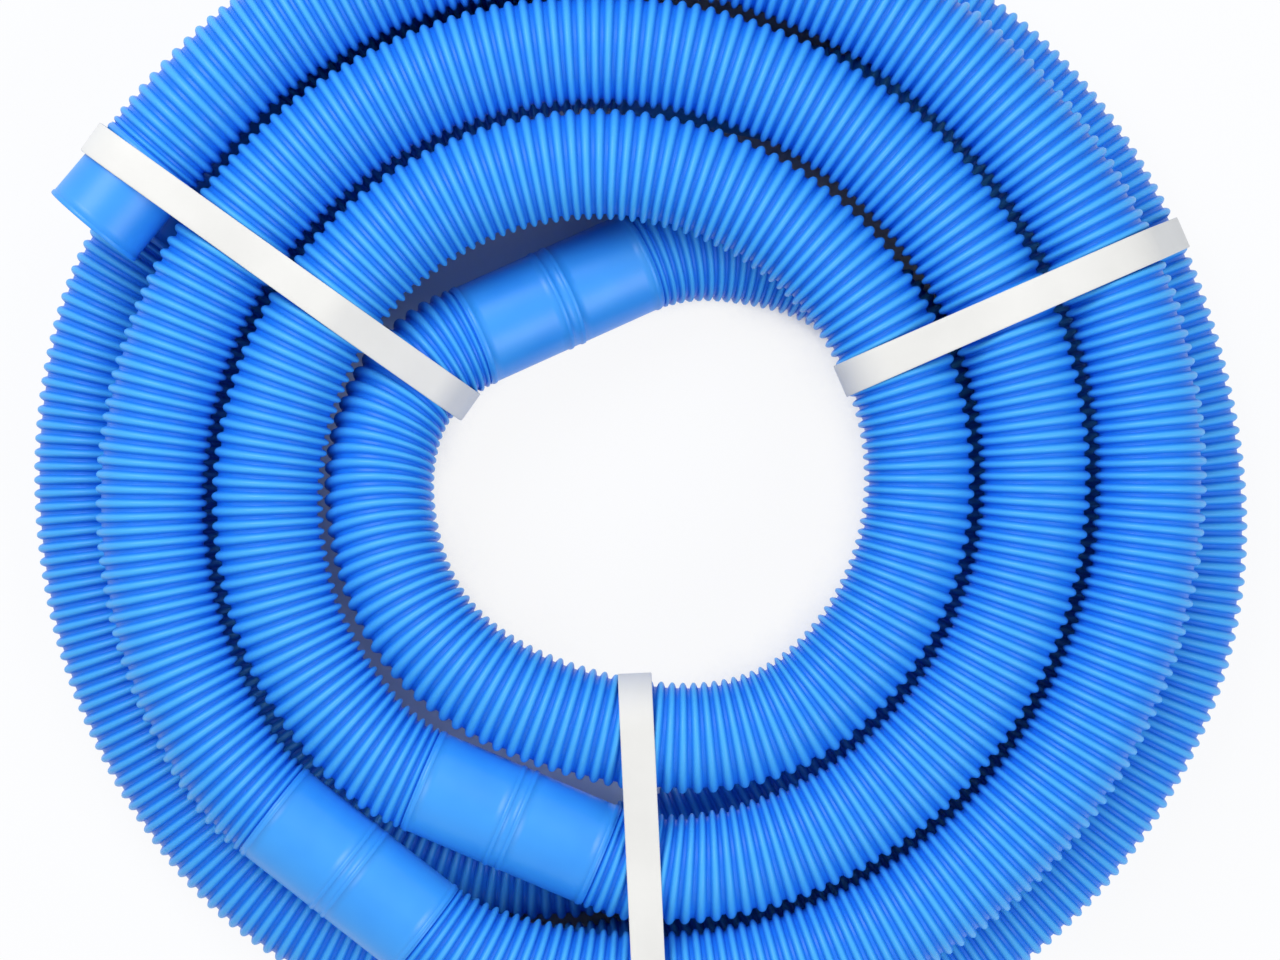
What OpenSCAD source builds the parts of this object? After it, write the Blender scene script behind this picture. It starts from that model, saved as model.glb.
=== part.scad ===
// A six metre ribbed suction hose, wound as a flat coil of two layers and tied with three straps.
// Millimetres. Z = 0 is the face that the coil rests on, and the origin is the middle of its footprint.
// The hose starts from its middle cuff, which lies against the coil's open centre. One half spirals
// outward on the top layer, and the other half spirals outward below it.

/* [Ribbed lengths] */
// Outside diameter over the ribs
hose_od = 43; // [41:0.5:45]
// Height of a rib over the valley beside it
rib_depth = 2.2; // [1.4:0.1:2.6]
// Thickness of the tube under a valley
rib_wall = 1.3; // [0.8:0.1:1.8]
// Ribs drawn on each ribbed length
ribs_per_section = 30; // [24:1:33]
// Middle of one cuff to the middle of the next, along the hose
section_length = 1000; // [960:5:1040]

/* [Cuffs] */
// Bore of the smooth cuffs
cuff_bore = 38; // [37:0.1:38.5]
// Wall of the smooth cuffs
cuff_wall = 1.3; // [1:0.1:1.5]
// Length of a double cuff
cuff_length = 76; // [64:1:80]
// Length of the inward step that meets the ribbed length
seat_length = 2; // [1:0.5:5]
// Width of each raised ridge
ridge_width = 2; // [1.2:0.2:2.4]
// Height of each raised ridge
ridge_height = 0.5; // [0.3:0.1:0.8]
// Flat left outside the ridge at a cuff's end
ridge_inset = 0.8; // [0.2:0.2:3]
// Free width of the groove where a double cuff is cut in two
cut_groove = 3.2; // [2:0.2:6]

/* [Coil] */
// Radius at which the top spiral starts
first_radius = 69.5; // [66:0.5:80]
// Free width between neighbouring turns of the top layer
turn_gap = 1.8; // [1.8:0.1:4]
// Free height between the two layers
layer_gap = 1; // [0.8:0.1:3]
// Free width between neighbouring turns of the lower layer
lower_turn_gap = 3.5; // [3:0.1:6]

/* [Straps] */
// Width of a strap
strap_width = 13; // [8:1:20]
// Thickness of a strap
strap_thickness = 0.8; // [0.5:0.1:1.5]
// Slack between a strap and the ribs that it holds
strap_slack = 0.3; // [0.1:0.1:1]

/* [Hidden] */
$fn = 48;

hose_colour = [0.16, 0.52, 0.97];
cuff_colour = [0.22, 0.58, 0.98];
strap_colour = [0.93, 0.94, 0.95];

// Radii of the tube
crest_radius = hose_od / 2;
valley_radius = crest_radius - rib_depth;
bore_radius = valley_radius - rib_wall;
cuff_bore_radius = cuff_bore / 2;
cuff_radius = cuff_bore_radius + cuff_wall;
half_cuff = cuff_length / 2;
// Middles of the ridges on half a cuff, from the cut plane
ridge_places = [(cut_groove + ridge_width) / 2, half_cuff - ridge_inset - ridge_width / 2];
// The widest that the hose gets, over its ribs or over the ridges of its cuffs
widest_radius = max(crest_radius, cuff_radius + ridge_height);

// The hose has this many lengths on each side of its middle cuff
lengths_each_way = 3;

// Top layer: an even spiral, drawn off centre and slightly oval. It is pressed in where the cuffs lie
// side by side, less deeply and over a narrower stretch on each turn, and bulges beside the middle cuff.
turn_pitch = 2 * widest_radius + turn_gap;
spiral_shift_x = -8.8;
spiral_shift_y = -0.2;
spiral_oval_x = 0.5;
spiral_oval_y = -1.3;
dent_depth = 12.2;
dent_fade = 4.1;
dent_angle = 266;
dent_drift = 14;
dent_half_width = 70;
dent_narrowing = 15;
bulge_height = 3.8;
bulge_angle = 162;
bulge_half_width = 44;

// Lower layer: leaves the middle cuff backwards, slides out under the first top turn, and then moves
// out by one turn in the same part of each lap. The right strap draws each lap in a little.
middle_angle = 115;
tuck_short = 3;
tuck_out = 2 * widest_radius - tuck_short;
tuck_run = 110;
lower_step = 2 * widest_radius + lower_turn_gap;
step_start = 170;
step_run = 86;
lower_oval = 1.4;
lower_oval_angle = 160;
drawn_in = 5.7;
drawn_in_angle = 17;
drawn_in_half_width = 38;

// The climb from the lower layer to the top layer, by angle
climb_from = 56;
climb_to = 242;
low_height = widest_radius + strap_slack + strap_thickness;
layer_lift = 2 * widest_radius + layer_gap;

// Each cuff is stiff and straight, so the hose bends beside it. A lean of 1 puts a cuff on the spiral
// and 0 puts it on the straight line between its bends.
cuff_lean = [1, 0.66, 0.7, 0.78, 0.76, 0.76, 0.37];
bend_run = 51;
middle_bend_run = 47;
// Both ends spring outward, and a lower turn is pushed out under the outer end
end_flare = 10.5;
end_flare_run = 90;
under_push = 3;
under_push_run = 180;

// Straps: direction from the coil's centre, and sideways offset
straps = [[144.4, 13.5], [23.6, 8.2], [272.7, -7.3]];

// Fineness of the route and of the faces
walk_step = 2;
trace_step = 4;
sides = 8;
tangent_step = 1;

function unit(v) = v / norm(v);
function ease(x) = let (t = min(max(x, 0), 1)) t * t * (3 - 2 * t);
function bump(x) = abs(x) < 1 ? (1 + cos(180 * x)) / 2 : 0;
function wrapped(a) = a - 360 * floor((a + 180) / 360);

// The spiral by angle
function top_radius(f) =
    first_radius + turn_pitch * f / 360
    + spiral_shift_x * cos(f) + spiral_shift_y * sin(f)
    + spiral_oval_x * cos(2 * f) + spiral_oval_y * sin(2 * f)
    + bulge_height * bump((f - bulge_angle) / bulge_half_width)
    - (dent_depth - dent_fade * f / 360)
        * bump(wrapped(f - dent_angle + dent_drift * f / 360) / (dent_half_width - dent_narrowing * f / 360));

function lower_radius(f) =
    let (back = middle_angle - f, tucked = ease(back / tuck_run))
    top_radius(middle_angle)
    + tucked * (tuck_out + lower_oval * cos(2 * (f - lower_oval_angle))
        - drawn_in * bump(wrapped(f - drawn_in_angle) / drawn_in_half_width))
    + lower_step * (ease((back - step_start) / step_run)
        + ease((back - step_start - 360) / step_run)
        + ease((back - step_start - 720) / step_run));

function turn_point(f, push = 0) =
    let (r = push + (f >= middle_angle ? top_radius(f) : lower_radius(f)))
    [r * cos(f), r * sin(f), low_height + layer_lift * ease((f - climb_from) / (climb_to - climb_from))];

// The angle reached after a length of hose, walking out from the middle cuff in steps
walk_length = lengths_each_way * section_length + cuff_length;
function walk(step) = [
    for (f = middle_angle, d = 0, p = turn_point(middle_angle);
         d < walk_length;
         f = f + step, d = d + norm(turn_point(f) - p), p = turn_point(f))
    [d, f]
];
walk_out = walk(walk_step);
walk_back = walk(-walk_step);
function angle_at(s) = s >= 0 ? lookup(s, walk_out) : lookup(-s, walk_back);

// The route by length, before the cuffs straighten it
hose_half = lengths_each_way * section_length;
function loose_point(s) =
    turn_point(angle_at(s),
        end_flare * pow(max(0, (abs(s) - hose_half) / end_flare_run + 1), 2)
        + under_push * bump((s + 2 * section_length) / under_push_run));
function loose_direction(s) = unit(loose_point(s + tangent_step) - loose_point(s - tangent_step));

// One straight line for each cuff: its middle, its direction, and where its bends end
function bend_of(k) = k == 0 ? middle_bend_run : bend_run;
function cuff_line(k) =
    let (reach = half_cuff + bend_of(k),
         s = k * section_length,
         low = loose_point(s - reach),
         high = loose_point(s + reach),
         chord = (low + high) / 2)
    [chord + cuff_lean[k + lengths_each_way] * (loose_point(s) - chord), unit(high - low),
     low, high, loose_direction(s - reach), loose_direction(s + reach)];
cuff_lines = [for (k = [-lengths_each_way:lengths_each_way]) cuff_line(k)];
function line_of(k) = cuff_lines[k + lengths_each_way];

// A smooth bend from a cuff's end to the spiral
function bend_point(u, from, from_slope, to, to_slope) =
    (2 * u * u * u - 3 * u * u + 1) * from + (u * u * u - 2 * u * u + u) * from_slope
    + (3 * u * u - 2 * u * u * u) * to + (u * u * u - u * u) * to_slope;

// The finished route by length from the hose's middle
function route_point(s) =
    let (k = min(max(round(s / section_length), -lengths_each_way), lengths_each_way),
         d = s - k * section_length,
         way = sign(d),
         run = bend_of(k),
         c = line_of(k))
    abs(d) <= half_cuff ? c[0] + d * c[1]
    : abs(d) >= half_cuff + run ? loose_point(s)
    : bend_point((abs(d) - half_cuff) / run,
        c[0] + way * half_cuff * c[1], way * run * c[1],
        way > 0 ? c[3] : c[2], way * run * (way > 0 ? c[5] : c[4]));

// Half of the cut groove is lost at each free end of the hose
hose_end = hose_half - cut_groove / 2;
trace_count = ceil(2 * hose_end / trace_step);
trace_at = [for (i = [0:trace_count]) -hose_end + 2 * hose_end * i / trace_count];
trace = [for (s = trace_at) route_point(s)];

// A strap wraps every turn that passes through its band
strap_reach = widest_radius + strap_slack;
function along(p, a) = p.x * cos(a) + p.y * sin(a);
function across(p, a) = p.y * cos(a) - p.x * sin(a);
function held_by(strap) = [
    for (p = trace)
    if (along(p, strap[0]) > 0 && abs(across(p, strap[0]) - strap[1]) < strap_width / 2 + trace_step / 2)
    [along(p, strap[0]), p.z]
];

// The footprint, so that the origin stays in its middle
function strap_tip(strap, side) =
    let (x = max([for (h = held_by(strap)) h.x]) + strap_reach + strap_thickness,
         y = strap[1] + side * strap_width / 2)
    [x * cos(strap[0]) - y * sin(strap[0]), x * sin(strap[0]) + y * cos(strap[0])];
function spread(i) = concat(
    [for (p = trace) for (side = [-1, 1]) p[i] + side * widest_radius],
    [for (strap = straps) for (side = [-1, 1]) strap_tip(strap, side)[i]]);
spread_x = spread(0);
spread_y = spread(1);
centre = [(min(spread_x) + max(spread_x)) / 2, (min(spread_y) + max(spread_y)) / 2, 0];

module placed() {
    translate(-centre)
        children();
}

// Puts a shape's Z axis along a cuff
module on_cuff(k) {
    c = line_of(k);
    translate(c[0])
        rotate([0, acos(c[1].z), atan2(c[1].y, c[1].x)])
            children();
}

// Corners of one ring of the tube, and the faces between two rings
function ring(centre, direction, radius) =
    let (side = unit(cross(direction, [0, 0, 1])), up = cross(side, direction))
    [for (j = [0:sides - 1]) centre + radius * (cos(360 * j / sides) * side + sin(360 * j / sides) * up)];
function skin(a, b) = [
    for (j = [0:sides - 1])
    let (n = (j + 1) % sides)
    each [[a + j, a + n, b + n], [a + j, b + n, b + j]]
];

// A ribbed length: crest and valley rings by turns outside, and a plain bore inside
module ribbed_section(number) {
    k = number - 1 - lengths_each_way;
    from = k * section_length + half_cuff;
    rings = 2 * ribs_per_section;
    step = (section_length - cuff_length) / rings;
    points = [for (i = [0:rings]) route_point(from + i * step)];
    directions = [
        for (i = [0:rings])
        i == 0 ? line_of(k)[1]
        : i == rings ? line_of(k + 1)[1]
        : unit(route_point(from + i * step + tangent_step) - route_point(from + i * step - tangent_step))
    ];
    outside = [for (i = [0:rings]) each ring(points[i], directions[i], i % 2 == 0 ? valley_radius : crest_radius)];
    inside = [for (i = [0:2:rings]) each ring(points[i], directions[i], bore_radius)];
    first_inside = len(outside);
    last_outside = rings * sides;
    last_inside = first_inside + ribs_per_section * sides;
    faces = concat(
        [for (i = [0:rings - 1]) each skin(i * sides, (i + 1) * sides)],
        [for (i = [0:ribs_per_section - 1]) each skin(first_inside + (i + 1) * sides, first_inside + i * sides)],
        skin(first_inside, 0),
        skin(last_outside, last_inside));
    color(hose_colour)
        placed()
            polyhedron(concat(outside, inside), faces, convexity = 10);
}

// Half of a cuff's wall, drawn from the cut plane outward along the tube
module half_cuff_profile(cut) {
    difference() {
        union() {
            translate([cuff_bore_radius, cut])
                square([cuff_wall, half_cuff - cut]);
            translate([bore_radius, half_cuff - seat_length])
                square([cuff_radius - bore_radius, seat_length]);
            for (z = ridge_places)
                translate([cuff_radius, z])
                    scale([2 * ridge_height / ridge_width, 1])
                        circle(d = ridge_width);
        }
        translate([0, cut - ridge_width])
            square([crest_radius * 2, ridge_width]);
        translate([0, cut])
            square([cuff_bore_radius, half_cuff - seat_length - cut]);
    }
}

module double_cuff(number) {
    color(cuff_colour)
        placed()
            on_cuff(number - lengths_each_way)
                rotate_extrude()
                    for (side = [0, 1])
                        mirror([0, side])
                            half_cuff_profile(0);
}

// An end cuff is half of a double one, cut through the middle of its groove
module end_cuff(k) {
    color(cuff_colour)
        placed()
            on_cuff(k)
                rotate_extrude()
                    mirror([0, k > 0 ? 1 : 0])
                        half_cuff_profile(cut_groove / 2);
}

module strap_outline(strap, radius) {
    hull()
        for (held = held_by(strap))
            translate(held)
                circle(r = radius);
}

// A flat band drawn round both layers
module strap(number) {
    strap = straps[number - 1];
    color(strap_colour)
        placed()
            rotate([0, 0, strap[0]])
                translate([0, strap[1], 0])
                    rotate([90, 0, 0])
                        linear_extrude(strap_width, center = true)
                            difference() {
                                strap_outline(strap, strap_reach + strap_thickness);
                                strap_outline(strap, strap_reach);
                            }
}

// Least gap between turns that lie beside or over each other, measured between stretches of the route
near_rings = ceil(4 * hose_od / trace_step);
function on_ridge(d) = min([for (z = ridge_places) abs(d - z)]) <= (ridge_width + trace_step) / 2;
function tube_radius(s) =
    let (d = abs(s - section_length * round(s / section_length)))
    d > half_cuff ? crest_radius : cuff_radius + (on_ridge(d) ? ridge_height : 0);
function reach_to(p, a, b) = norm(p - a - min(max((p - a) * (b - a) / ((b - a) * (b - a)), 0), 1) * (b - a));
least_gap = min([
    for (i = [0:trace_count])
    for (j = [i + near_rings:1:trace_count - 1])
    if (norm(trace[i] - trace[j]) < 1.3 * hose_od)
    reach_to(trace[i], trace[j], trace[j + 1]) - tube_radius(trace_at[i]) - tube_radius(trace_at[j])
]);
union() {
    echo("Least gap between turns", least_gap);
    echo("Mouth of the outer end", line_of(lengths_each_way)[0] - centre, line_of(lengths_each_way)[1]);
    echo("Mouth of the lower end", line_of(-lengths_each_way)[0] - centre, line_of(-lengths_each_way)[1]);
}

for (i = [1:2 * lengths_each_way])
    ribbed_section(i);
for (i = [1:2 * lengths_each_way - 1])
    double_cuff(i);
end_cuff(lengths_each_way);  // outer_end_cuff
end_cuff(-lengths_each_way);  // lower_end_cuff
strap(1);  // upper_left_strap
strap(2);  // right_strap
strap(3);  // lower_strap
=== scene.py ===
"""A six metre ribbed suction hose, wound as a flat coil of two layers and tied with three flat straps.

The route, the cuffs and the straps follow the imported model's own sizes, which are given in millimetres
here and turned to metres where a mesh is made.
"""
import math

import bpy
import numpy as np
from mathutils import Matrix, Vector


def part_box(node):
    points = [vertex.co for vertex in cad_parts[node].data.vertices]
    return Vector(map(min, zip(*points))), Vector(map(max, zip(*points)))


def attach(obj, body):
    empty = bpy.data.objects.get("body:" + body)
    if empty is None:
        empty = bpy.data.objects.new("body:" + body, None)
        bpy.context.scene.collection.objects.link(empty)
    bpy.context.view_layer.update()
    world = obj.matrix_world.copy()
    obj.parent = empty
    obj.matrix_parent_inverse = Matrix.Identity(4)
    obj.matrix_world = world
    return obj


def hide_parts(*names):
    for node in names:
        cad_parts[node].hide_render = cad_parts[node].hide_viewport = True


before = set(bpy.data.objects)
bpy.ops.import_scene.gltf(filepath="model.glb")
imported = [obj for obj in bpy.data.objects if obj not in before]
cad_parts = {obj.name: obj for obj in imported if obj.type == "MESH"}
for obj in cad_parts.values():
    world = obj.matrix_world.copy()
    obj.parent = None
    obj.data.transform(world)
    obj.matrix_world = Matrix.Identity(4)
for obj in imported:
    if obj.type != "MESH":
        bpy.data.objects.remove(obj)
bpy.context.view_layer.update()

MM = 0.001

# ---------------------------------------------------------------------------------------------
# Sizes of the hose, in millimetres
# ---------------------------------------------------------------------------------------------
HOSE_OD = 43.0
RIB_DEPTH = 2.2
RIB_WALL = 1.3
SECTION_LENGTH = 1000.0
LENGTHS_EACH_WAY = 3
RIBS = 184

CUFF_BORE = 38.0
CUFF_WALL = 1.3
CUFF_LENGTH = 76.0
SEAT_LENGTH = 2.0
RIDGE_WIDTH = 2.0
RIDGE_HEIGHT = 0.5
RIDGE_INSET = 0.8
CUT_GROOVE = 3.2

STRAP_WIDTH = 13.0
STRAP_THICKNESS = 0.8
STRAP_SLACK = 0.3
# Direction from the coil's centre, and sideways offset, of each strap
STRAPS = {"upper_left_strap": (144.4, 13.5), "right_strap": (23.6, 8.2), "lower_strap": (272.7, -7.3)}

CREST = HOSE_OD / 2
VALLEY = CREST - RIB_DEPTH
BORE = VALLEY - RIB_WALL
CUFF_RADIUS = CUFF_BORE / 2 + CUFF_WALL
HALF_CUFF = CUFF_LENGTH / 2
HOSE_HALF = LENGTHS_EACH_WAY * SECTION_LENGTH
HOSE_END = HOSE_HALF - CUT_GROOVE / 2

# The coil: the top spiral with its dent and bulge, the lower spiral, and the climb between them
FIRST_RADIUS = 69.5
TURN_PITCH = HOSE_OD + 1.8
SPIRAL_SHIFT = (-8.8, -0.2)
SPIRAL_OVAL = (0.5, -1.3)
DENT_DEPTH, DENT_FADE = 12.2, 4.1
DENT_ANGLE, DENT_DRIFT = 266.0, 14.0
DENT_HALF_WIDTH, DENT_NARROWING = 70.0, 15.0
BULGE_HEIGHT, BULGE_ANGLE, BULGE_HALF_WIDTH = 3.8, 162.0, 44.0
MIDDLE_ANGLE = 115.0
TUCK_OUT, TUCK_RUN = HOSE_OD - 3.0, 110.0
LOWER_STEP, STEP_START, STEP_RUN, LOWER_LAPS = HOSE_OD + 3.5, 170.0, 86.0, 3
LOWER_OVAL, LOWER_OVAL_ANGLE = 1.4, 160.0
DRAWN_IN, DRAWN_IN_ANGLE, DRAWN_IN_HALF_WIDTH = 5.7, 17.0, 38.0
CLIMB_FROM, CLIMB_TO = 56.0, 242.0
LOW_HEIGHT = CREST + STRAP_SLACK + STRAP_THICKNESS
LAYER_LIFT = HOSE_OD + 1.0
CUFF_LEAN = (1.0, 0.66, 0.7, 0.78, 0.76, 0.76, 0.37)
BEND_RUN, MIDDLE_BEND_RUN = 51.0, 47.0
END_FLARE, END_FLARE_RUN = 10.5, 90.0
UNDER_PUSH, UNDER_PUSH_RUN = 3.0, 180.0


# ---------------------------------------------------------------------------------------------
# The route, by length from the hose's middle
# ---------------------------------------------------------------------------------------------
def ease(x):
    t = np.clip(x, 0, 1)
    return t * t * (3 - 2 * t)


def bump(x):
    return np.where(np.abs(x) < 1, (1 + np.cos(np.pi * np.clip(x, -1, 1))) / 2, 0)


def unit(v):
    return v / np.linalg.norm(v, axis=-1, keepdims=True)


def wrapped(angle):
    return (angle + 180) % 360 - 180


def top_radius(angle):
    f, laps = np.radians(angle), angle / 360
    dent = bump(wrapped(angle - DENT_ANGLE + DENT_DRIFT * laps) / (DENT_HALF_WIDTH - DENT_NARROWING * laps))
    return (
        FIRST_RADIUS
        + TURN_PITCH * laps
        + SPIRAL_SHIFT[0] * np.cos(f)
        + SPIRAL_SHIFT[1] * np.sin(f)
        + SPIRAL_OVAL[0] * np.cos(2 * f)
        + SPIRAL_OVAL[1] * np.sin(2 * f)
        + BULGE_HEIGHT * bump((angle - BULGE_ANGLE) / BULGE_HALF_WIDTH)
        - (DENT_DEPTH - DENT_FADE * laps) * dent
    )


def lower_radius(angle):
    back = MIDDLE_ANGLE - angle
    tucked = ease(back / TUCK_RUN)
    steps = sum(ease((back - STEP_START - 360 * lap) / STEP_RUN) for lap in range(LOWER_LAPS))
    oval = LOWER_OVAL * np.cos(2 * np.radians(angle - LOWER_OVAL_ANGLE))
    drawn_in = DRAWN_IN * bump(wrapped(angle - DRAWN_IN_ANGLE) / DRAWN_IN_HALF_WIDTH)
    return top_radius(MIDDLE_ANGLE) + (TUCK_OUT + oval - drawn_in) * tucked + LOWER_STEP * steps


def turn_point(angle, push=0.0):
    angle = np.asarray(angle, float)
    radius = push + np.where(angle >= MIDDLE_ANGLE, top_radius(angle), lower_radius(angle))
    height = LOW_HEIGHT + LAYER_LIFT * ease((angle - CLIMB_FROM) / (CLIMB_TO - CLIMB_FROM))
    f = np.radians(angle)
    return np.stack([radius * np.cos(f), radius * np.sin(f), height], -1)


# The spiral is walked in steps of so many degrees, so far back and on from the hose's middle, to find
# lengths along it
WALK_STEP, WALK_BACK, WALK_ON = 2.0, 1300.0, 1200.0
walk_angles = MIDDLE_ANGLE + np.arange(-WALK_BACK, WALK_ON + WALK_STEP, WALK_STEP)
walk_steps = np.linalg.norm(np.diff(turn_point(walk_angles), axis=0), axis=1)
walk_lengths = np.concatenate([[0], np.cumsum(walk_steps)])
walk_lengths -= np.interp(MIDDLE_ANGLE, walk_angles, walk_lengths)


# How far each way, in millimetres, the points lie that a direction is taken from
LOOSE_REACH, ROUTE_REACH = 1.0, 0.5


def loose_point(s):
    flare = END_FLARE * np.maximum(0, (np.abs(s) - HOSE_HALF) / END_FLARE_RUN + 1) ** 2
    under = UNDER_PUSH * bump((s + 2 * SECTION_LENGTH) / UNDER_PUSH_RUN)
    return turn_point(np.interp(s, walk_lengths, walk_angles), flare + under)


def loose_direction(s):
    return unit(loose_point(s + LOOSE_REACH) - loose_point(s - LOOSE_REACH))


def bend_of(k):
    return MIDDLE_BEND_RUN if k == 0 else BEND_RUN


def cuff_line(k):
    """A cuff's middle and direction, and where the bends beside it end."""
    reach, s = HALF_CUFF + bend_of(k), k * SECTION_LENGTH
    low, high = loose_point(s - reach), loose_point(s + reach)
    chord = (low + high) / 2
    middle = chord + CUFF_LEAN[k + LENGTHS_EACH_WAY] * (loose_point(s) - chord)
    return middle, unit(high - low), low, high, loose_direction(s - reach), loose_direction(s + reach)


CUFF_LINES = {k: cuff_line(k) for k in range(-LENGTHS_EACH_WAY, LENGTHS_EACH_WAY + 1)}

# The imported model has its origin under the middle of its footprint: its middle cuff says how far that
# lies from the spiral's own centre
middle_low, middle_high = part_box("double_cuff_3")
SHIFT = np.array((middle_low + middle_high) / 2) / MM - CUFF_LINES[0][0]


def bend_points(u, start, start_slope, end, end_slope):
    u = u[:, None]
    return (
        (2 * u**3 - 3 * u**2 + 1) * start
        + (u**3 - 2 * u**2 + u) * start_slope
        + (3 * u**2 - 2 * u**3) * end
        + (u**3 - u**2) * end_slope
    )


def route(s):
    """Points of the hose's centreline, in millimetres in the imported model's frame."""
    s = np.atleast_1d(np.asarray(s, float))
    points = loose_point(s)
    for k, (middle, way, low, high, low_way, high_way) in CUFF_LINES.items():
        along, run = s - k * SECTION_LENGTH, bend_of(k)
        straight = np.abs(along) <= HALF_CUFF
        points[straight] = middle + along[straight, None] * way
        for side, end, end_way in ((1, high, high_way), (-1, low, low_way)):
            bent = (side * along > HALF_CUFF) & (side * along < HALF_CUFF + run)
            points[bent] = bend_points(
                (side * along[bent] - HALF_CUFF) / run,
                middle + side * HALF_CUFF * way,
                side * run * way,
                end,
                side * run * end_way,
            )
    return points + SHIFT


def directions(s):
    return unit(route(s + ROUTE_REACH) - route(s - ROUTE_REACH))


# ---------------------------------------------------------------------------------------------
# Camera: straight down over the coil, a little off its centre
# ---------------------------------------------------------------------------------------------
CAMERA_OFFSET = (-1.9, 3.9)
CAMERA_ABOVE_TOP = 1300.0
LENS_MM, SENSOR_MM = 94.5, 36.0

camera_data = bpy.data.cameras.new("camera")
camera_data.lens = LENS_MM
camera_data.sensor_width = SENSOR_MM
camera = bpy.data.objects.new("camera", camera_data)
camera.location = (
    (CAMERA_OFFSET[0] + SHIFT[0]) * MM,
    (CAMERA_OFFSET[1] + SHIFT[1]) * MM,
    (LOW_HEIGHT + LAYER_LIFT + CAMERA_ABOVE_TOP) * MM,
)
bpy.context.scene.collection.objects.link(camera)
bpy.context.scene.camera = camera


# ---------------------------------------------------------------------------------------------
# Materials
# ---------------------------------------------------------------------------------------------
def linear(hex_colour):
    """An sRGB hex colour as linear RGBA."""
    channels = [int(hex_colour[i : i + 2], 16) / 255 for i in (1, 3, 5)]
    return [c / 12.92 if c <= 0.04045 else ((c + 0.055) / 1.055) ** 2.4 for c in channels] + [1.0]


def add(tree, kind, links=None, **settings):
    """Adds a node. Settings are its own properties, and links its inputs: sockets or plain values."""
    made = tree.nodes.new(kind)
    for name, value in settings.items():
        setattr(made, name, value)
    for name, value in (links or {}).items():
        if isinstance(value, bpy.types.NodeSocket):
            tree.links.new(value, made.inputs[name])
        else:
            made.inputs[name].default_value = value
    return made


def patches(size):
    """The noise scale that gives patches about this many millimetres across."""
    return 1 / (size * MM)


def new_material(name):
    made = bpy.data.materials.new(name)
    made.use_nodes = True
    made.node_tree.nodes.clear()
    return made, made.node_tree


def blow_moulded_polyethylene():
    """Coloured polyethylene, blown against a ribbed mould: an even, waxy blue with a soft broad gloss, with
    painted light on the crests and painted shade in the valleys."""
    made, tree = new_material("blow_moulded_polyethylene")
    painted_rib_shading = add(tree, "ShaderNodeAttribute", attribute_name="rib_height")
    at = add(tree, "ShaderNodeTexCoord").outputs["Object"]
    cloud = add(tree, "ShaderNodeTexNoise", {"Vector": at, "Scale": patches(70.0), "Detail": 3.0})
    tone = add(
        tree,
        "ShaderNodeMapRange",
        {"Value": cloud.outputs["Fac"], "From Min": 0.3, "From Max": 0.7, "To Min": -0.06, "To Max": 0.06},
    )
    height = add(tree, "ShaderNodeMath", {0: painted_rib_shading.outputs["Fac"], 1: tone.outputs["Result"]}, operation="ADD")
    # The rib's height, with a little random tone, picks the colour: paler on the crests as painted light,
    # deeper in the valleys as painted shade
    blue = add(tree, "ShaderNodeValToRGB", {"Fac": height.outputs["Value"]})
    ramp = blue.color_ramp
    ramp.elements[0].position, ramp.elements[0].color = 0.0, linear("#1F80EC")
    ramp.elements[1].position, ramp.elements[1].color = 1.0, linear("#48B0FB")
    middle = ramp.elements.new(0.55)
    middle.color = linear("#3198F3")
    # The skin's grain is drawn as coarse as it needs to be to show
    grain = add(tree, "ShaderNodeTexNoise", {"Vector": at, "Scale": patches(1.1), "Detail": 2.0})
    skin = add(
        tree, "ShaderNodeBump", {"Height": grain.outputs["Fac"], "Strength": 0.06, "Distance": 0.0002}
    )
    gloss = add(
        tree,
        "ShaderNodeMapRange",
        {"Value": cloud.outputs["Fac"], "From Min": 0.3, "From Max": 0.7, "To Min": 0.34, "To Max": 0.44},
    )
    body = add(
        tree,
        "ShaderNodeBsdfPrincipled",
        {
            "Base Color": blue.outputs["Color"],
            "Roughness": gloss.outputs["Result"],
            "Specular IOR Level": 0.28,
            "IOR": 1.5,
            "Normal": skin.outputs["Normal"],
        },
    )
    add(tree, "ShaderNodeOutputMaterial", {"Surface": body.outputs["BSDF"]})
    return made


def smooth_polyethylene():
    """The same polyethylene where the mould was smooth: it shines more, with faint flow marks and dimples."""
    made, tree = new_material("smooth_polyethylene")
    at = add(tree, "ShaderNodeTexCoord").outputs["Object"]
    cloud = add(tree, "ShaderNodeTexNoise", {"Vector": at, "Scale": patches(33.0), "Detail": 3.0})
    blue = add(tree, "ShaderNodeValToRGB", {"Fac": cloud.outputs["Fac"]})
    ramp = blue.color_ramp
    ramp.elements[0].position, ramp.elements[0].color = 0.3, linear("#3096F6")
    ramp.elements[1].position, ramp.elements[1].color = 0.7, linear("#3CA2FA")
    dimple = add(tree, "ShaderNodeTexNoise", {"Vector": at, "Scale": patches(18.0), "Detail": 1.0})
    skin = add(
        tree, "ShaderNodeBump", {"Height": dimple.outputs["Fac"], "Strength": 0.25, "Distance": 0.001}
    )
    body = add(
        tree,
        "ShaderNodeBsdfPrincipled",
        {
            "Base Color": blue.outputs["Color"],
            "Roughness": 0.38,
            "IOR": 1.5,
            "Normal": skin.outputs["Normal"],
        },
    )
    add(tree, "ShaderNodeOutputMaterial", {"Surface": body.outputs["BSDF"]})
    return made


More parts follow.
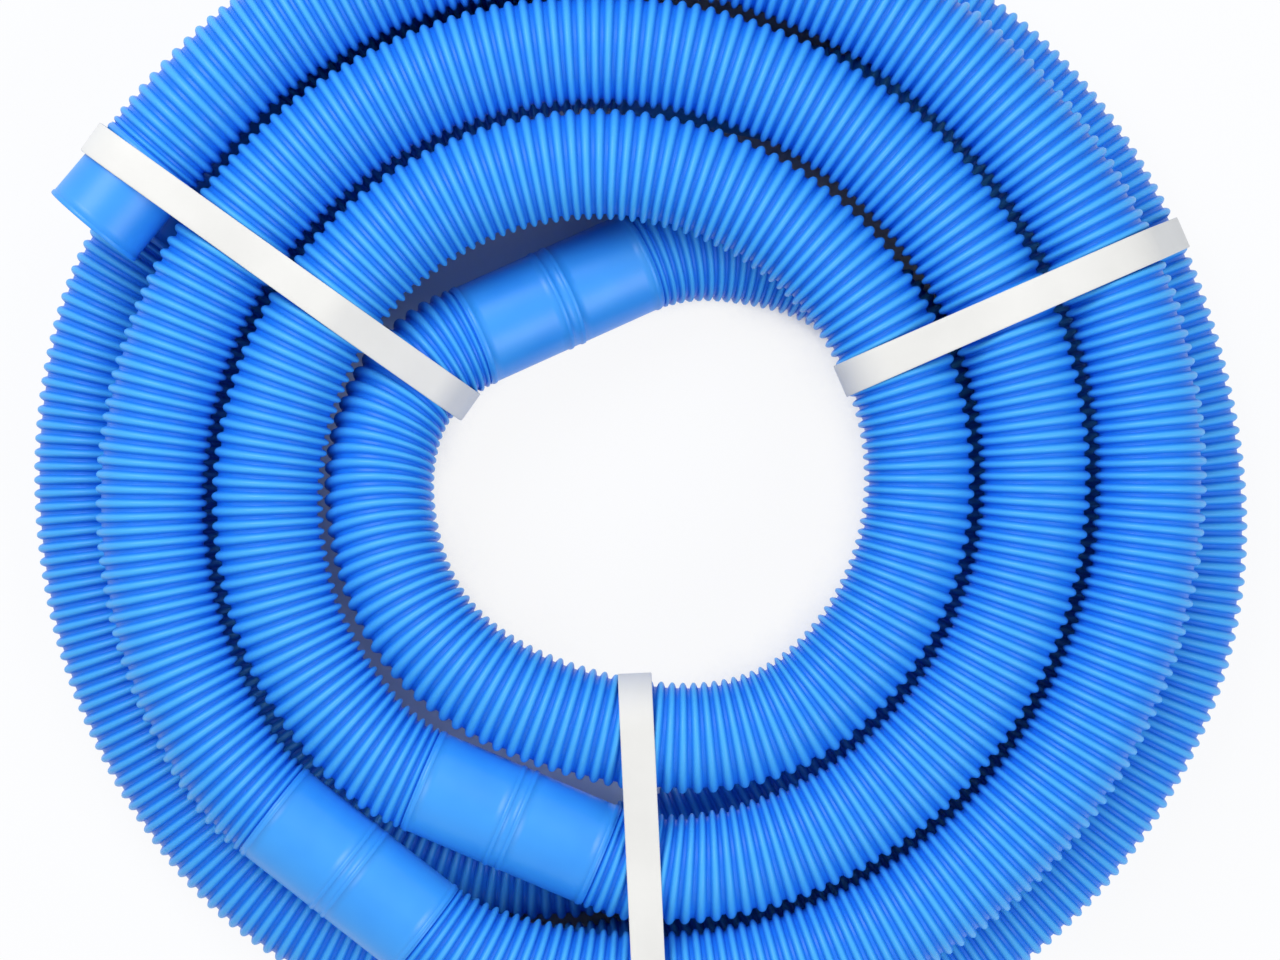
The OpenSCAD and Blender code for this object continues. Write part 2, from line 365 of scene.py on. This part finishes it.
def white_strapping():
    """Soft white polypropylene strapping: matt, with a faint grain and grey scuffs."""
    made, tree = new_material("white_strapping")
    at = add(tree, "ShaderNodeTexCoord").outputs["Object"]
    scuff = add(tree, "ShaderNodeTexNoise", {"Vector": at, "Scale": patches(42.0), "Detail": 4.0})
    white = add(tree, "ShaderNodeValToRGB", {"Fac": scuff.outputs["Fac"]})
    ramp = white.color_ramp
    ramp.elements[0].position, ramp.elements[0].color = 0.3, linear("#DEDEDC")
    ramp.elements[1].position, ramp.elements[1].color = 0.7, linear("#E9E9E7")
    # The band's grain is drawn as coarse as it needs to be to show
    grain = add(tree, "ShaderNodeTexNoise", {"Vector": at, "Scale": patches(1.4), "Detail": 2.0})
    skin = add(
        tree, "ShaderNodeBump", {"Height": grain.outputs["Fac"], "Strength": 0.1, "Distance": 0.0002}
    )
    body = add(
        tree,
        "ShaderNodeBsdfPrincipled",
        {
            "Base Color": white.outputs["Color"],
            "Roughness": 0.6,
            "IOR": 1.49,
            "Normal": skin.outputs["Normal"],
        },
    )
    add(tree, "ShaderNodeOutputMaterial", {"Surface": body.outputs["BSDF"]})
    return made


RIBBED_HOSE = blow_moulded_polyethylene()
SMOOTH_CUFF = smooth_polyethylene()
STRAPPING = white_strapping()


# ---------------------------------------------------------------------------------------------
# Meshes
# ---------------------------------------------------------------------------------------------
def mesh_piece(name, points, faces, material, node):
    """A smooth mesh from points in millimetres. It stands for a node and rides on the one body."""
    data = bpy.data.meshes.new(name)
    data.from_pydata((np.asarray(points) * MM).tolist(), [], faces)
    data.polygons.foreach_set("use_smooth", [True] * len(faces))
    data.materials.append(material)
    data.update()
    made = bpy.data.objects.new(name, data)
    bpy.context.scene.collection.objects.link(made)
    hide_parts(node)
    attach(made, "root")
    return made


def ring_points(centres, ways, radii, sides):
    """Rings round a line of centres, one row of points for each ring."""
    side = unit(np.cross(ways, (0, 0, 1)))
    up = np.cross(side, ways)
    turn = 2 * np.pi * np.arange(sides) / sides
    round_about = np.cos(turn)[None, :, None] * side[:, None] + np.sin(turn)[None, :, None] * up[:, None]
    return centres[:, None] + np.asarray(radii)[:, None, None] * round_about


def skin_faces(rings, sides):
    """Quads between each ring and the next, and from the last back to the first. They face out where the
    rings run along their line."""
    i = np.arange(rings)[:, None] * sides
    after = (i + sides) % (rings * sides)
    j = np.arange(sides)[None, :]
    n = (j + 1) % sides
    quads = np.stack(np.broadcast_arrays(i + j, after + j, after + n, i + n), -1)
    return quads.reshape(-1, 4).tolist()


# Places across one rib, as shares of the pitch from its crest. A rib has a broad round top and steep sides,
# which the two powers give, and the valley beside it is flat.
RIB_HALF_WIDTH, RIB_TOP, RIB_FOOT = 0.37, 2.5, 1.1
RIB_PLACES = np.array([-0.44, -0.37, -0.34, -0.28, -0.20, -0.08, 0.08, 0.20, 0.28, 0.34, 0.37, 0.44])


def rib_shape(place):
    """The rib's height at a place, from 1 at its crest to 0 in the valley."""
    return (1 - np.minimum(np.abs(place) / RIB_HALF_WIDTH, 1) ** RIB_TOP) ** RIB_FOOT


# The ribs beside a cuff are narrower and lower by these shares, which fade over so many ribs
LEAD_IN_WIDTH, LEAD_IN_HEIGHT, LEAD_IN_RIBS = 0.35, 0.3, 1.2

# Beside a cuff the ribs turn evenly over this length, though the line through them bends sooner
EVEN_TURN = 90.0


def rib_ways(s, k):
    """Directions of the ribs on the length between cuffs k and k + 1, square to both cuffs at its ends."""
    ways = directions(s)
    for number, inward in ((k, 1), (k + 1, -1)):
        cuff_end = number * SECTION_LENGTH + inward * HALF_CUFF
        share = inward * (s[:, None] - cuff_end) / EVEN_TURN
        turned = unit((1 - share) * CUFF_LINES[number][1] + share * directions(cuff_end + inward * EVEN_TURN))
        ways = np.where(share < 1, turned, ways)
    return ways


# Points round a rib, rings along the bore, and points on the centreline that each length works out
HOSE_SIDES, BORE_RINGS, CORD_POINTS = 40, RIBS // 2, 120


def ribbed_section(number):
    """One ribbed length. The first ribs beside a cuff are lower and closer together."""
    k = number - 1 - LENGTHS_EACH_WAY
    start = k * SECTION_LENGTH + HALF_CUFF
    length = SECTION_LENGTH - CUFF_LENGTH
    from_cuff = np.minimum(np.arange(RIBS), np.arange(RIBS)[::-1])
    lead_in = np.exp(-from_cuff / LEAD_IN_RIBS)
    widths = 1 - LEAD_IN_WIDTH * lead_in
    widths *= length / widths.sum()
    crests = start + np.cumsum(widths) - widths / 2
    heights = 1 - LEAD_IN_HEIGHT * lead_in
    s = (crests[:, None] + widths[:, None] * RIB_PLACES).ravel()
    share = (heights[:, None] * rib_shape(RIB_PLACES)).ravel()
    s = np.concatenate([[start], s, [start + length]])
    share = np.concatenate([[0], share, [0]])
    outside = ring_points(route(s), rib_ways(s, k), VALLEY + RIB_DEPTH * share, HOSE_SIDES)
    s_bore = np.linspace(start, start + length, BORE_RINGS)
    inside = ring_points(route(s_bore), rib_ways(s_bore, k), np.full(BORE_RINGS, BORE), HOSE_SIDES)
    # The bore runs back from the far end, so that its faces look inward and each end closes
    points = np.concatenate([outside, inside[::-1]])
    made = mesh_piece(
        f"ribbed_length_{number}",
        points.reshape(-1, 3),
        skin_faces(len(points), HOSE_SIDES),
        RIBBED_HOSE,
        f"ribbed_section_{number}",
    )
    # Each point's rib height, which the hose's material turns into painted light on the crests and painted
    # shade in the valleys
    height = np.repeat(np.concatenate([share, np.zeros(BORE_RINGS)]), HOSE_SIDES)
    made.data.attributes.new("rib_height", "FLOAT", "POINT").data.foreach_set(
        "value", height.astype(np.float32)
    )
    line = route(np.linspace(start, start + length, CORD_POINTS)) * MM


for number in range(1, 2 * LENGTHS_EACH_WAY + 1):
    ribbed_section(number)


# The chamfer at a cuff's end, and how far from a ridge's middle the rings of its plain wall start
CHAMFER, PLAIN_FROM = 0.25, 4.0
CUFF_SIDES, RIDGE_POINTS, PLAIN_RINGS = 96, 9, 12


def ridge(middle):
    """A round-topped ridge on a cuff: distances along it and radii."""
    turn = np.linspace(0, np.pi, RIDGE_POINTS)
    return [(middle - RIDGE_WIDTH / 2 * math.cos(a), CUFF_RADIUS + RIDGE_HEIGHT * math.sin(a)) for a in turn]


def half_cuff_outline(cut):
    """The outside of half a cuff from the cut plane to the ribbed length, and its bore back again."""
    groove_ridge = (CUT_GROOVE + RIDGE_WIDTH) / 2
    end_ridge = HALF_CUFF - RIDGE_INSET - RIDGE_WIDTH / 2
    outside = [(cut, CUFF_RADIUS)]
    outside += ridge(groove_ridge)
    plain = np.linspace(groove_ridge + PLAIN_FROM, end_ridge - PLAIN_FROM, PLAIN_RINGS)
    outside += [(z, CUFF_RADIUS) for z in plain]
    outside += ridge(end_ridge)
    outside += [(HALF_CUFF - CHAMFER, CUFF_RADIUS), (HALF_CUFF, CUFF_RADIUS - CHAMFER)]
    seat = [(HALF_CUFF, BORE), (HALF_CUFF - SEAT_LENGTH, BORE), (HALF_CUFF - SEAT_LENGTH, CUFF_BORE / 2)]
    return outside, seat + [(cut, CUFF_BORE / 2)]


def cuff(name, node, k, outline):
    """A turned cuff. The outline is a closed loop of distances along it and radii."""
    middle, way = CUFF_LINES[k][:2]
    outline = np.array(outline)
    centres = middle + SHIFT + outline[:, :1] * way
    points = ring_points(centres, np.tile(way, (len(outline), 1)), outline[:, 1], CUFF_SIDES)
    mesh_piece(
        name,
        points.reshape(-1, 3),
        skin_faces(len(outline), CUFF_SIDES),
        SMOOTH_CUFF,
        node,
    )


def double_cuff(number):
    outside, inside = half_cuff_outline(0.0)
    mirrored = [(-z, r) for z, r in outside[::-1]]
    mirrored_inside = [(-z, r) for z, r in inside[::-1]]
    loop = mirrored + outside[1:] + inside + mirrored_inside[1:]
    cuff(f"cuff_{number}", f"double_cuff_{number}", number - LENGTHS_EACH_WAY, loop)


def end_cuff(name, node, k):
    """A cuff cut where the ridge beside its groove starts, so the ridge's first point is the cut's too."""
    outside, inside = half_cuff_outline(CUT_GROOVE / 2)
    loop = outside[1:] + inside
    if k > 0:
        loop = [(-z, r) for z, r in loop[::-1]]
    cuff(name, node, k, loop)


for number in range(1, 2 * LENGTHS_EACH_WAY):
    double_cuff(number)
end_cuff("outer_end", "outer_end_cuff", LENGTHS_EACH_WAY)
end_cuff("lower_end", "lower_end_cuff", -LENGTHS_EACH_WAY)


# ---------------------------------------------------------------------------------------------
# Straps
# ---------------------------------------------------------------------------------------------
TRACE_POINTS = 1500
# How far past its edges a strap still feels the turns, the degrees between its points, and points across
STRAP_FEELS, STRAP_STEP, STRAP_ACROSS = 2.0, 3, 9
trace = route(np.linspace(-HOSE_END, HOSE_END, TRACE_POINTS)) - SHIFT


def held_turns(angle, offset):
    """Centres of the turns that a strap holds, as distance from the coil's centre and height."""
    f = math.radians(angle)
    along = trace[:, 0] * math.cos(f) + trace[:, 1] * math.sin(f)
    across = trace[:, 1] * math.cos(f) - trace[:, 0] * math.sin(f)
    held = (along > 0) & (np.abs(across - offset) < STRAP_WIDTH / 2 + STRAP_FEELS)
    return np.stack([along[held], trace[held, 2]], -1)


def strap(node, angle, offset):
    """A flat band with rounded edges, drawn round the turns that it holds."""
    turns = held_turns(angle, offset)
    f = math.radians(angle)
    out = np.array((math.cos(f), math.sin(f), 0))
    across = np.array((-math.sin(f), math.cos(f), 0))
    loop, normals = [], []
    for a in np.radians(np.arange(0, 360, STRAP_STEP)):
        n = np.array((math.cos(a), math.sin(a)))
        loop.append(turns[np.argmax(turns @ n)] + (CREST + STRAP_SLACK + STRAP_THICKNESS / 2) * n)
        normals.append(n)
    loop, normals = np.array(loop), np.array(normals)
    # Cross-section of the band, round at its edges
    half, thick = STRAP_WIDTH / 2, STRAP_THICKNESS / 2
    flat = np.linspace(-half + thick, half - thick, STRAP_ACROSS)
    bend = (math.pi / 4, 0, -math.pi / 4)
    edge = [(half - thick + thick * math.cos(a), thick * math.sin(a)) for a in bend]
    section = [(x, thick) for x in flat[::-1]] + [(-x, z) for x, z in edge]
    section += [(x, -thick) for x in flat] + [(x, -z) for x, z in edge]
    points = []
    for place, n in zip(loop, normals):
        for x, t in section:
            w, z = place + t * n
            points.append(w * out + (offset + x) * across + np.array((0, 0, z)) + SHIFT)
    mesh_piece(
        node.replace("_strap", "_band"),
        points,
        skin_faces(len(loop), len(section)),
        STRAPPING,
        node,
    )


for node, (angle, offset) in STRAPS.items():
    strap(node, angle, offset)


# ---------------------------------------------------------------------------------------------
# Floor and lights
# ---------------------------------------------------------------------------------------------
# The floor shows as white where it is open, and is left to the light in gaps. This is how far round a place
# on it the sky is felt for, in metres.
GAP_REACH, GAP_SAMPLES = 0.11, 24
# Shares of open sky round a place on the floor: below the first it is in a gap, above the second open
GAP_SKY, OPEN_SKY = 0.3, 0.36
FLOOR_GLOW = 0.91
# The floor's side, and how far it lies below the plane that the coil rests on, in metres
FLOOR_SIDE, FLOOR_DROP = 8, 0.0002


def seen_directly(tree):
    """1 for what the camera sees, also in a mirror or through glass."""
    path = add(tree, "ShaderNodeLightPath")
    seen = path.outputs["Is Camera Ray"]
    for ray in ("Is Glossy Ray", "Is Transmission Ray"):
        both = add(tree, "ShaderNodeMath", {0: seen, 1: path.outputs[ray]}, operation="ADD", use_clamp=True)
        seen = both.outputs["Value"]
    return seen


def floor():
    """A plain white floor, which keeps the object's shadow."""
    made, tree = new_material("white_floor")
    sky = add(tree, "ShaderNodeAmbientOcclusion", {"Distance": GAP_REACH}, samples=GAP_SAMPLES)
    opened = add(
        tree,
        "ShaderNodeMapRange",
        {"Value": sky.outputs["AO"], "From Min": GAP_SKY, "From Max": OPEN_SKY, "To Max": FLOOR_GLOW},
        interpolation_type="SMOOTHSTEP",
    )
    factors = {0: seen_directly(tree), 1: opened.outputs["Result"]}
    share = add(tree, "ShaderNodeMath", factors, operation="MULTIPLY")
    paint = add(tree, "ShaderNodeBsdfDiffuse", {"Color": linear("#E2EAF8")})
    glow = add(tree, "ShaderNodeEmission", {"Color": linear("#FFFFFF"), "Strength": 1.0})
    both = add(
        tree,
        "ShaderNodeMixShader",
        {"Fac": share.outputs["Value"], 1: paint.outputs["BSDF"], 2: glow.outputs["Emission"]},
    )
    add(tree, "ShaderNodeOutputMaterial", {"Surface": both.outputs["Shader"]})
    bpy.ops.mesh.primitive_plane_add(size=FLOOR_SIDE, location=(0, 0, -FLOOR_DROP))
    plane = bpy.context.object
    plane.name = "floor"
    plane.data.materials.append(made)


def area_light(name, place, size, power):
    """A round lamp of so many metres and watts, aimed at the middle of the coil's footprint."""
    data = bpy.data.lights.new(name, "AREA")
    data.shape, data.size, data.energy = "DISK", size, power
    made = bpy.data.objects.new(name, data)
    made.location = place
    made.rotation_euler = (-Vector(place)).to_track_quat("-Z", "Y").to_euler()
    bpy.context.scene.collection.objects.link(made)


def world_light(strength):
    world = bpy.data.worlds.new("studio")
    world.use_nodes = True
    tree = world.node_tree
    tree.nodes.clear()
    soft = add(tree, "ShaderNodeBackground", {"Color": linear("#FFFFFF"), "Strength": strength})
    seen = add(tree, "ShaderNodeBackground", {"Color": linear("#FFFFFF"), "Strength": 1.0})
    both = add(
        tree,
        "ShaderNodeMixShader",
        {"Fac": seen_directly(tree), 1: soft.outputs["Background"], 2: seen.outputs["Background"]},
    )
    add(tree, "ShaderNodeOutputWorld", {"Surface": both.outputs["Shader"]})
    bpy.context.scene.world = world


floor()
area_light("key", place=(-0.6, 0.8, 1.3), size=1.1, power=14.5)
area_light("fill", place=(0.9, -0.7, 1.2), size=1.0, power=8.0)
world_light(strength=0.5)
bpy.context.scene.view_settings.view_transform = "Standard"
